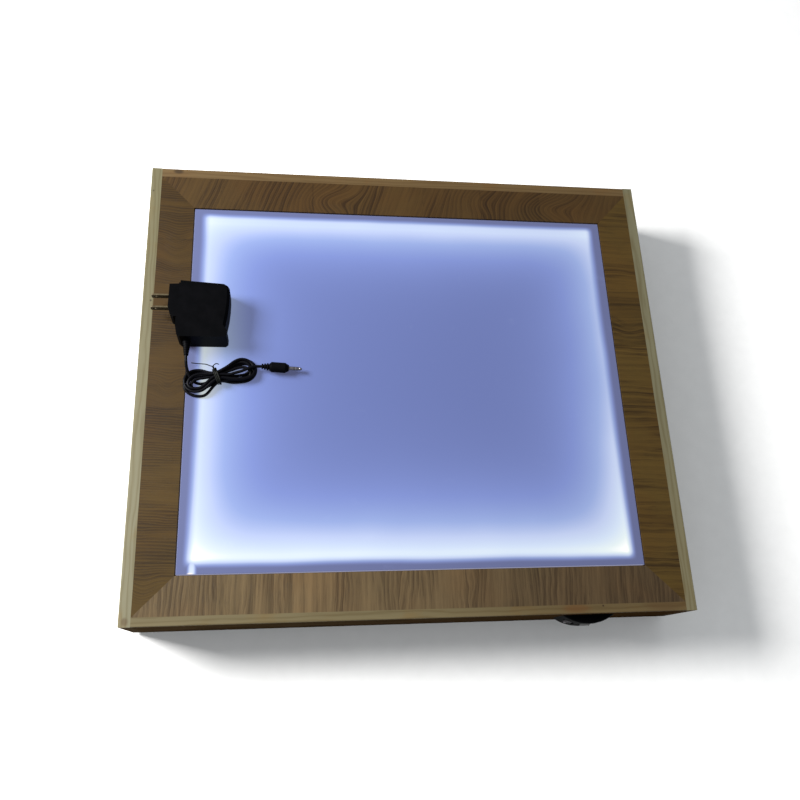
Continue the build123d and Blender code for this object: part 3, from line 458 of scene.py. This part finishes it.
moulded = plastic("black_moulded", (0.0007, 0.0008, 0.0011, 1), (0.0014, 0.0014, 0.0019, 1), 0.44, 2600.0, 0.22, spec=0.018)
paint(moulded, "adapter_front_shell", "adapter_back_shell", "control_housing")
paint(plastic("black_relief", (0.0010, 0.0010, 0.0016, 1), (0.0020, 0.0020, 0.0026, 1), 0.44, 3200.0, 0.15, spec=0.022), "adapter_relief", "plug_handle")
paint(plastic("black_gloss", (0.0028, 0.0028, 0.0030, 1), (0.0050, 0.0050, 0.0054, 1), 0.24, 3600.0, 0.10, spec=0.35), "switch_rocker", "switch_body", "jack_body")
paint(plastic("rubber_black", lin(24, 24, 24), lin(36, 35, 34), 0.72, 1800.0, 0.4), "foot_front_left", "foot_rear_left", "foot_front_right", "foot_rear_right")
paint(metal("steel", lin(176, 176, 172), lin(132, 130, 124), 0.26), "corner_nails", "base_screws", "foot_screws", "housing_screws")
paint(metal("nickel", (0.20, 0.19, 0.20, 1), (0.11, 0.10, 0.11, 1), 0.30), "jack_nut", "jack_terminals", "switch_terminals", "plug_sleeve", "plug_tip", "plug_ring")
paint(metal("brass_blade", (0.085, 0.070, 0.044, 1), (0.056, 0.044, 0.026, 1), 0.56), "adapter_blades")
paint(plastic("plug_band", lin(14, 14, 15), lin(20, 20, 22), 0.35), "plug_insulator")

n = Net("white_sheet")
fz = n.noise(n.vec(n.mul(n.x, 1400.0), n.mul(n.y, 1400.0), 0.0), 1.0, 3.0, 0.6)
n.set(color=n.ramp(fz, [(0.3, lin(236, 236, 232)), (0.7, lin(222, 222, 218))]), rough=0.7)
n.bump(fz, 0.15, 0.0002)
paint(n.mat, "reflector_sheet")

n = Net("led_strip")
pad = n.math("SINE", n.mul(n.add(n.x, n.y), 2 * math.pi / 0.0083))
pad = n.smooth(pad, 0.72, 0.86)
band = n.smooth(n.math("ABSOLUTE", n.sub(n.z, 0.0585)), 0.0028, 0.0034)
cu = n.mul(pad, band)
n.set(color=n.mix(cu, lin(228, 226, 216), lin(196, 138, 84)), rough=n.smooth(cu, 0.0, 1.0, 0.5, 0.28), metal=cu)
paint(n.mat, "led_strip_left", "led_strip_right", "led_strip_front", "led_strip_rear")

n = Net("led_chip")
r = n.noise(n.vec(n.mul(n.x, 800.0), n.mul(n.y, 800.0), n.mul(n.z, 800.0)), 1.0, 2.0, 0.5)
zc = n.smooth(n.math("ABSOLUTE", n.sub(n.z, 0.0585)), 0.0015, 0.0021, 1.0, 0.0)
n.set(color=n.mix(zc, lin(240, 240, 236), lin(236, 214, 120)), rough=0.4, emit=n.ramp(r, [(0.0, (0.75, 0.88, 1, 1)), (1.0, (0.85, 0.94, 1, 1))]),
      power=n.mul(zc, 6.0))
paint(n.mat, "led_chips")

paint(plastic("wire_red", lin(150, 24, 20), lin(176, 34, 26), 0.38, 1500.0, 0.1), "wire_feed_red", "wire_jack_switch", "strip_links")
paint(plastic("wire_black", lin(22, 22, 24), lin(34, 34, 36), 0.40, 1500.0, 0.1), "wire_feed_black")

n = Net("board")
tr = n.voronoi(n.vec(n.mul(n.x, 420.0), n.mul(n.y, 420.0), n.mul(n.z, 420.0)), 1.0, "DISTANCE_TO_EDGE")
tr = n.smooth(tr, 0.04, 0.09, 1.0, 0.0)
n.set(color=n.mix(n.mul(tr, 0.7), lin(150, 118, 62), lin(92, 96, 44)), rough=0.42)
n.bump(tr, 0.2, 0.0002)
paint(n.mat, "adapter_board")
n = Net("ferrite")
tz = n.smooth(n.math("ABSOLUTE", n.sub(n.z, 0.0895)), 0.0040, 0.0046, 1.0, 0.0)
fz = n.noise(n.vec(n.mul(n.x, 900.0), n.mul(n.y, 900.0), n.mul(n.z, 900.0)), 1.0, 3.0, 0.6)
n.set(color=n.mix(tz, n.ramp(fz, [(0.3, lin(58, 58, 60)), (0.7, lin(78, 78, 80))]), lin(206, 176, 62)), rough=n.smooth(tz, 0.0, 1.0, 0.5, 0.3))
paint(n.mat, "adapter_transformer")
n = Net("capacitor")
fz = n.noise(n.vec(n.mul(n.x, 900.0), n.mul(n.y, 900.0), n.mul(n.z, 60.0)), 1.0, 3.0, 0.6)
strp = n.smooth(n.math("ABSOLUTE", n.add(n.x, 0.1950)), 0.0010, 0.0014, 1.0, 0.0)
n.set(color=n.mix(strp, n.ramp(fz, [(0.3, lin(26, 34, 60)), (0.7, lin(36, 46, 76))]), lin(190, 194, 200)), rough=0.3, coat=0.4)
paint(n.mat, "adapter_capacitor")

# ------------------------------------------------------------------ output cord
ROUTE = [
    (-0.214000, 0.019348, 0.087500), (-0.214000, 0.012348, 0.087500), (-0.212800, 0.005848, 0.082000), (-0.210000, -0.001152, 0.078200),
    (-0.204842, -0.004645, 0.076207), (-0.198402, -0.005323, 0.075948), (-0.190440, -0.001959, 0.076681), (-0.185268, 0.000056, 0.077095),
    (-0.180090, 0.001078, 0.076471), (-0.172324, -0.000479, 0.075907), (-0.165375, 0.000625, 0.075893), (-0.158685, 0.002253, 0.075896),
    (-0.153506, 0.005979, 0.075897), (-0.152262, 0.011066, 0.075887), (-0.155264, 0.015134, 0.075863), (-0.160681, 0.016263, 0.075908),
    (-0.166772, 0.014349, 0.075880), (-0.172506, 0.010565, 0.076145), (-0.181098, 0.005110, 0.076719), (-0.186426, 0.002677, 0.077055),
    (-0.191725, 0.001692, 0.076607), (-0.199554, 0.003344, 0.076087), (-0.206627, 0.002454, 0.075876), (-0.211907, -0.001144, 0.075858),
    (-0.212766, -0.006664, 0.075936), (-0.209438, -0.010924, 0.075901), (-0.203888, -0.011690, 0.075861), (-0.198187, -0.010099, 0.076050),
    (-0.189357, -0.005037, 0.076842), (-0.184159, -0.002598, 0.077033), (-0.179114, -0.001851, 0.076388), (-0.172445, -0.003392, 0.075950),
    (-0.164403, -0.002980, 0.075880), (-0.156911, -0.001575, 0.075898), (-0.151487, 0.002639, 0.075898), (-0.149347, 0.008775, 0.075899),
    (-0.151030, 0.015148, 0.075897), (-0.156089, 0.019205, 0.075895), (-0.162656, 0.020222, 0.075897), (-0.169317, 0.018016, 0.075897),
    (-0.174642, 0.013472, 0.076219), (-0.182505, 0.007984, 0.076838), (-0.187512, 0.005367, 0.077038), (-0.192617, 0.004552, 0.076428),
    (-0.200029, 0.007110, 0.075921), (-0.207606, 0.006184, 0.075877), (-0.213019, 0.002455, 0.075902), (-0.215724, -0.003431, 0.076334),
    (-0.215571, -0.009552, 0.076340), (-0.212409, -0.013942, 0.075984), (-0.207172, -0.016642, 0.075842), (-0.200911, -0.017837, 0.076126),
    (-0.194764, -0.016519, 0.077095), (-0.188369, -0.007347, 0.078496), (-0.183665, -0.003813, 0.079507), (-0.178659, -0.002168, 0.079217),
    (-0.171616, -0.001182, 0.078565), (-0.165959, -0.001252, 0.078182), (-0.160217, -0.000586, 0.077984), (-0.155648, 0.001811, 0.077973),
    (-0.154050, 0.005440, 0.078864), (-0.155998, 0.009273, 0.079668), (-0.160726, 0.011378, 0.079361), (-0.166572, 0.010680, 0.078986),
    (-0.171946, 0.008268, 0.079061), (-0.181070, 0.004801, 0.079537), (-0.186381, 0.002658, 0.079795), (-0.191261, 0.000988, 0.079537),
    (-0.197511, -0.000363, 0.079499), (-0.203066, -0.001201, 0.079779), (-0.207592, -0.003669, 0.079896), (-0.209318, -0.007526, 0.079263),
    (-0.207228, -0.011435, 0.078672), (-0.202663, -0.013110, 0.078400), (-0.197093, -0.011085, 0.078899), (-0.190220, -0.002837, 0.079540),
    (-0.185284, 0.000241, 0.079845), (-0.180196, 0.001858, 0.079258), (-0.172781, 0.001963, 0.077840), (-0.166265, 0.003594, 0.076397),
    (-0.160238, 0.004727, 0.075746), (-0.155588, 0.007757, 0.076228), (-0.154839, 0.012702, 0.078265), (-0.158607, 0.016292, 0.078845),
    (-0.164184, 0.016983, 0.078299), (-0.169679, 0.014992, 0.078042), (-0.174324, 0.011110, 0.078590), (-0.182267, 0.007317, 0.079538),
    (-0.187405, 0.005273, 0.079833), (-0.192825, 0.004873, 0.079282), (-0.200968, 0.007965, 0.078633), (-0.208766, 0.007486, 0.078151),
    (-0.214305, 0.003249, 0.078341), (-0.215952, -0.003534, 0.079170), (-0.213794, -0.010117, 0.079597), (-0.208634, -0.014017, 0.080168),
    (-0.202215, -0.014505, 0.080844), (-0.196577, -0.012397, 0.081307), (-0.189493, -0.004573, 0.081766), (-0.184655, -0.001319, 0.081964),
    (-0.179559, -0.000073, 0.081736), (-0.172063, -0.001419, 0.081458), (-0.164503, -0.001356, 0.081210), (-0.157305, -0.000391, 0.080931),
    (-0.151702, 0.003057, 0.080010), (-0.150690, 0.008978, 0.078562), (-0.152908, 0.015078, 0.078211), (-0.157883, 0.019040, 0.078638),
    (-0.164038, 0.019663, 0.079518), (-0.169876, 0.016715, 0.080530), (-0.174626, 0.011725, 0.081514), (-0.181907, 0.006483, 0.082234),
    (-0.186877, 0.003925, 0.082198), (-0.192060, 0.002702, 0.081667), (-0.199935, 0.003375, 0.081237), (-0.206178, 0.001915, 0.081207),
    (-0.210829, -0.002064, 0.081308), (-0.212160, -0.006993, 0.081287), (-0.209446, -0.011035, 0.081448), (-0.204184, -0.011786, 0.081599),
    (-0.198569, -0.010715, 0.081776), (-0.190934, -0.001505, 0.082017), (-0.185808, 0.001533, 0.082209), (-0.180920, 0.003019, 0.081860),
    (-0.174408, 0.002536, 0.081452), (-0.168417, 0.004552, 0.081527), (-0.162400, 0.006187, 0.082062), (-0.156897, 0.008898, 0.082460),
    (-0.152402, 0.011068, 0.081720), (-0.148600, 0.011848, 0.080250), (-0.143900, 0.011928, 0.080100),
]
CORD_D = 0.0028


def curve(name, pts, radius, order=3, res=6, bres=4):
    cu = bpy.data.curves.new(name, "CURVE")
    cu.dimensions = "3D"
    sp = cu.splines.new("NURBS")
    sp.points.add(len(pts) - 1)
    for q, p in zip(sp.points, pts):
        q.co = (*p, 1)
    sp.order_u = order
    sp.use_endpoint_u = True
    sp.resolution_u = res
    cu.resolution_u = res
    cu.bevel_depth = radius
    cu.bevel_resolution = bres
    cu.use_fill_caps = True
    ob = bpy.data.objects.new(name, cu)
    bpy.context.scene.collection.objects.link(ob)
    return ob


cord = curve("output_cord", ROUTE, CORD_D / 2, res=8, bres=5)
n = Net("cord_pvc")
a = n.noise(n.vec(n.mul(n.x, 240.0), n.mul(n.y, 240.0), n.mul(n.z, 240.0)), 1.0, 4.0, 0.6)
b = n.noise(n.vec(n.mul(n.x, 2600.0), n.mul(n.y, 2600.0), n.mul(n.z, 2600.0)), 1.0, 2.0, 0.6)
n.set(color=n.ramp(a, [(0.3, (0.0010, 0.0010, 0.0018, 1)), (0.7, (0.0020, 0.0020, 0.0032, 1))]), rough=n.add(n.mul(a, 0.16), 0.36), spec=0.06)
n.bump(n.add(n.mul(a, 0.5), n.mul(b, 0.3)), 0.16, 0.0002)
cord.data.materials.append(n.mat)
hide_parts("cord_lead", "cord_hank", "cord_tail")
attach(cord, "adapter")

# wire tie round the waist of the hank
TC = Vector((-0.1858, -0.0032 + YS, 0.0798))
ta = math.radians(22.0)
U = Vector((math.cos(ta), math.sin(ta), 0))
V = Vector((-math.sin(ta), math.cos(ta), 0))
Zv = Vector((0, 0, 1))


def around(frac, off, k=1.0):
    """point round the bundle, off along it"""
    a = 2 * math.pi * frac
    ca, sa = math.cos(a), math.sin(a)
    w, h = 0.0078 * k, 0.0042 * k
    x = w * math.copysign(abs(ca) ** 0.62, ca)
    z = h * math.copysign(abs(sa) ** 0.70, sa)
    return TC + V * x + Zv * z + U * off


loops = []
offs = [-0.0016, -0.0004, 0.0010, 0.0019, 0.0002]
for i in range(4 * 14 + 3):
    f = 0.10 + i / 14.0
    k = 1.0 + 0.025 * math.sin(i * 1.7) + 0.02 * (i / 14.0)
    j = i / 14.0
    o = offs[int(j)] + (offs[min(4, int(j) + 1)] - offs[int(j)]) * (j - int(j))
    loops.append(around(f, o, k))
tie = curve("wire_tie", [tuple(p) for p in loops], 0.00052, res=4, bres=3)
KN = Vector((-0.1876, 0.0012 + YS, 0.0845))
tw = []
tdir = Vector((-0.35, 0.80, 0.35)).normalized()
side = tdir.cross(Zv).normalized()
top = side.cross(tdir).normalized()
ends = []
for s in (0, 1):
    seq = []
    for i in range(13):
        a = i * math.radians(68) + s * math.pi
        r = 0.00062
        seq.append(KN + tdir * (i * 0.00042 - 0.0010) + side * (r * math.cos(a)) + top * (r * math.sin(a)))
    ends.append(seq)
tail_pts = ends[0] + [Vector((-0.1912, 0.0049 + YS, 0.0862)), Vector((-0.1950, 0.0072 + YS, 0.0846)), Vector((-0.1996, 0.0086 + YS, 0.0822)),
                      Vector((-0.2044, 0.0097 + YS, 0.0798)), Vector((-0.2100, 0.0112 + YS, 0.0779))]
short_pts = ends[1] + [Vector((-0.1880, 0.0062 + YS, 0.0868)), Vector((-0.1856, 0.0078 + YS, 0.0862)), Vector((-0.1838, 0.0072 + YS, 0.0848))]
tail = curve("wire_tie_tail", [tuple(p) for p in tail_pts], 0.00046, res=4, bres=3)
short = curve("wire_tie_end", [tuple(p) for p in short_pts], 0.00046, res=4, bres=3)
n = Net("tie_wire")
a = n.noise(n.vec(n.mul(n.x, 500.0), n.mul(n.y, 500.0), n.mul(n.z, 500.0)), 1.0, 4.0, 0.6)
n.set(color=n.ramp(a, [(0.3, (0.0020, 0.0028, 0.0024, 1)), (0.7, (0.0052, 0.0056, 0.0042, 1))]), rough=n.add(n.mul(a, 0.2), 0.40), spec=0.08)
n.bump(a, 0.2, 0.0001)
for o in (tie, tail, short):
    o.data.materials.append(n.mat)
    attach(o, "adapter")
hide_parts("cord_tie")

# ------------------------------------------------------------------ floor and light
bm = bmesh.new()
S = 2.4
for ix in range(13):
    for iy in range(13):
        bm.verts.new((-S + ix * S / 6, -S + iy * S / 6, 0))
bm.verts.ensure_lookup_table()
for ix in range(12):
    for iy in range(12):
        i = ix * 13 + iy
        bm.faces.new([bm.verts[i], bm.verts[i + 13], bm.verts[i + 14], bm.verts[i + 1]])
me = bpy.data.meshes.new("floor")
bm.to_mesh(me)
bm.free()
floor = bpy.data.objects.new("floor", me)
bpy.context.scene.collection.objects.link(floor)
n = Net("floor_paper")
a = n.noise(n.vec(n.mul(n.x, 60.0), n.mul(n.y, 60.0), 0.0), 1.0, 4.0, 0.6)
n.set(color=n.ramp(a, [(0.3, (0.84, 0.84, 0.84, 1)), (0.7, (0.87, 0.87, 0.87, 1))]), rough=0.9, spec=0.1)
me.materials.append(n.mat)


def area(name, loc, aim, size, power, colour=(1, 1, 1)):
    l = bpy.data.lights.new(name, "AREA")
    l.shape = "RECTANGLE"
    l.size, l.size_y = size
    l.energy = power
    l.color = colour
    o = bpy.data.objects.new(name, l)
    bpy.context.scene.collection.objects.link(o)
    o.location = loc
    o.rotation_euler = (Vector(aim) - Vector(loc)).to_track_quat("-Z", "Y").to_euler()
    return o


area("key", (-1.25, 0.34, 0.92), (-0.05, 0.0, 0.0), (0.62, 0.5), 66.0, (1.0, 0.99, 0.97))
w = bpy.data.worlds.new("world")
bpy.context.scene.world = w
w.use_nodes = True
bg = w.node_tree.nodes["Background"]
bg.inputs[0].default_value = (0.95, 0.98, 1.0, 1)
bg.inputs[1].default_value = 0.55
